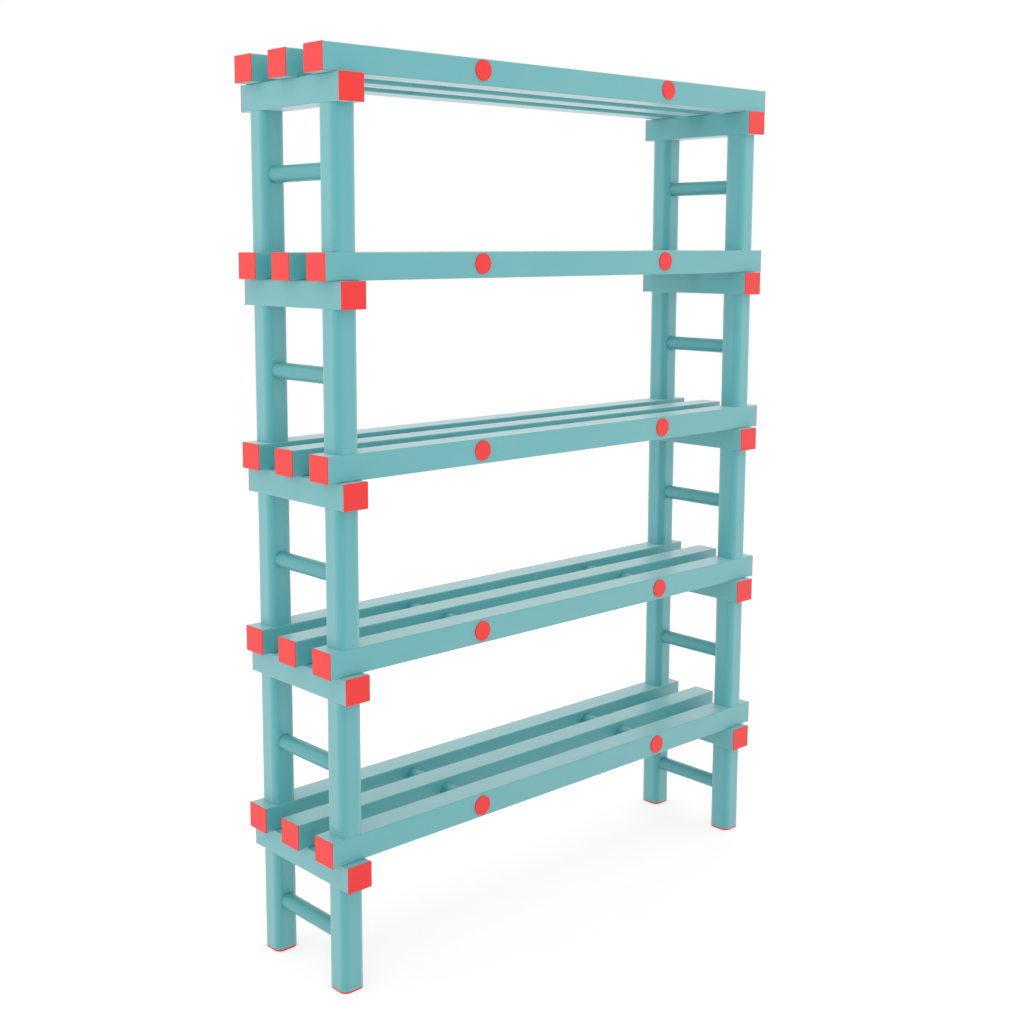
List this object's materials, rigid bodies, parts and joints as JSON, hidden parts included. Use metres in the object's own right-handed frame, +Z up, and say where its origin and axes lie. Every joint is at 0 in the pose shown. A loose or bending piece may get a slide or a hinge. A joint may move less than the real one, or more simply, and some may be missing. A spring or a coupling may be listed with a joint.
{
  "type": "plastic shelving unit",
  "caption": "Free-standing slatted plastic shelving: hollow slats on crossbeams and stacked ladder legs, joined by round tubes, with red push-in end caps and feet.",
  "frame": {"origin": "on the floor, under the middle of the unit", "axes": "+X along the shelves to the right end, +Y from front to rear, +Z up"},
  "size_m": [1.5, 0.368, 2.1],
  "materials": {
    "tube_blue": "satin",
    "cap_red": "satin",
    "joint_grey": "matte"
  },
  "bodies": {
    "root": {"front_slat_1": "tube_blue", "front_slat_2": "tube_blue", "front_slat_3": "tube_blue", "front_slat_4": "tube_blue", "front_slat_5": "tube_blue", "middle_slat_1": "tube_blue", "middle_slat_2": "tube_blue", "middle_slat_3": "tube_blue", "middle_slat_4": "tube_blue", "middle_slat_5": "tube_blue", "rear_slat_1": "tube_blue", "rear_slat_2": "tube_blue", "rear_slat_3": "tube_blue", "rear_slat_4": "tube_blue", "rear_slat_5": "tube_blue", "left_crossbeam_1": "tube_blue", "left_crossbeam_2": "tube_blue", "left_crossbeam_3": "tube_blue", "left_crossbeam_4": "tube_blue", "left_crossbeam_5": "tube_blue", "right_crossbeam_1": "tube_blue", "right_crossbeam_2": "tube_blue", "right_crossbeam_3": "tube_blue", "right_crossbeam_4": "tube_blue", "right_crossbeam_5": "tube_blue", "left_front_leg_1": "tube_blue", "left_front_leg_2": "tube_blue", "left_front_leg_3": "tube_blue", "left_front_leg_4": "tube_blue", "left_front_leg_5": "tube_blue", "left_rear_leg_1": "tube_blue", "left_rear_leg_2": "tube_blue", "left_rear_leg_3": "tube_blue", "left_rear_leg_4": "tube_blue", "left_rear_leg_5": "tube_blue", "right_front_leg_1": "tube_blue", "right_front_leg_2": "tube_blue", "right_front_leg_3": "tube_blue", "right_front_leg_4": "tube_blue", "right_front_leg_5": "tube_blue", "right_rear_leg_1": "tube_blue", "right_rear_leg_2": "tube_blue", "right_rear_leg_3": "tube_blue", "right_rear_leg_4": "tube_blue", "right_rear_leg_5": "tube_blue", "left_rungs": "tube_blue", "right_rungs": "tube_blue", "left_tie_rods": "tube_blue", "right_tie_rods": "tube_blue", "left_slat_caps": "cap_red", "right_slat_caps": "cap_red", "front_crossbeam_caps": "cap_red", "rear_crossbeam_caps": "cap_red", "front_rod_caps": "cap_red", "rear_rod_caps": "cap_red", "foot_caps": "cap_red", "joining_tubes": "joint_grey", "leg_sockets": "joint_grey"}
  },
  "joints": []
}
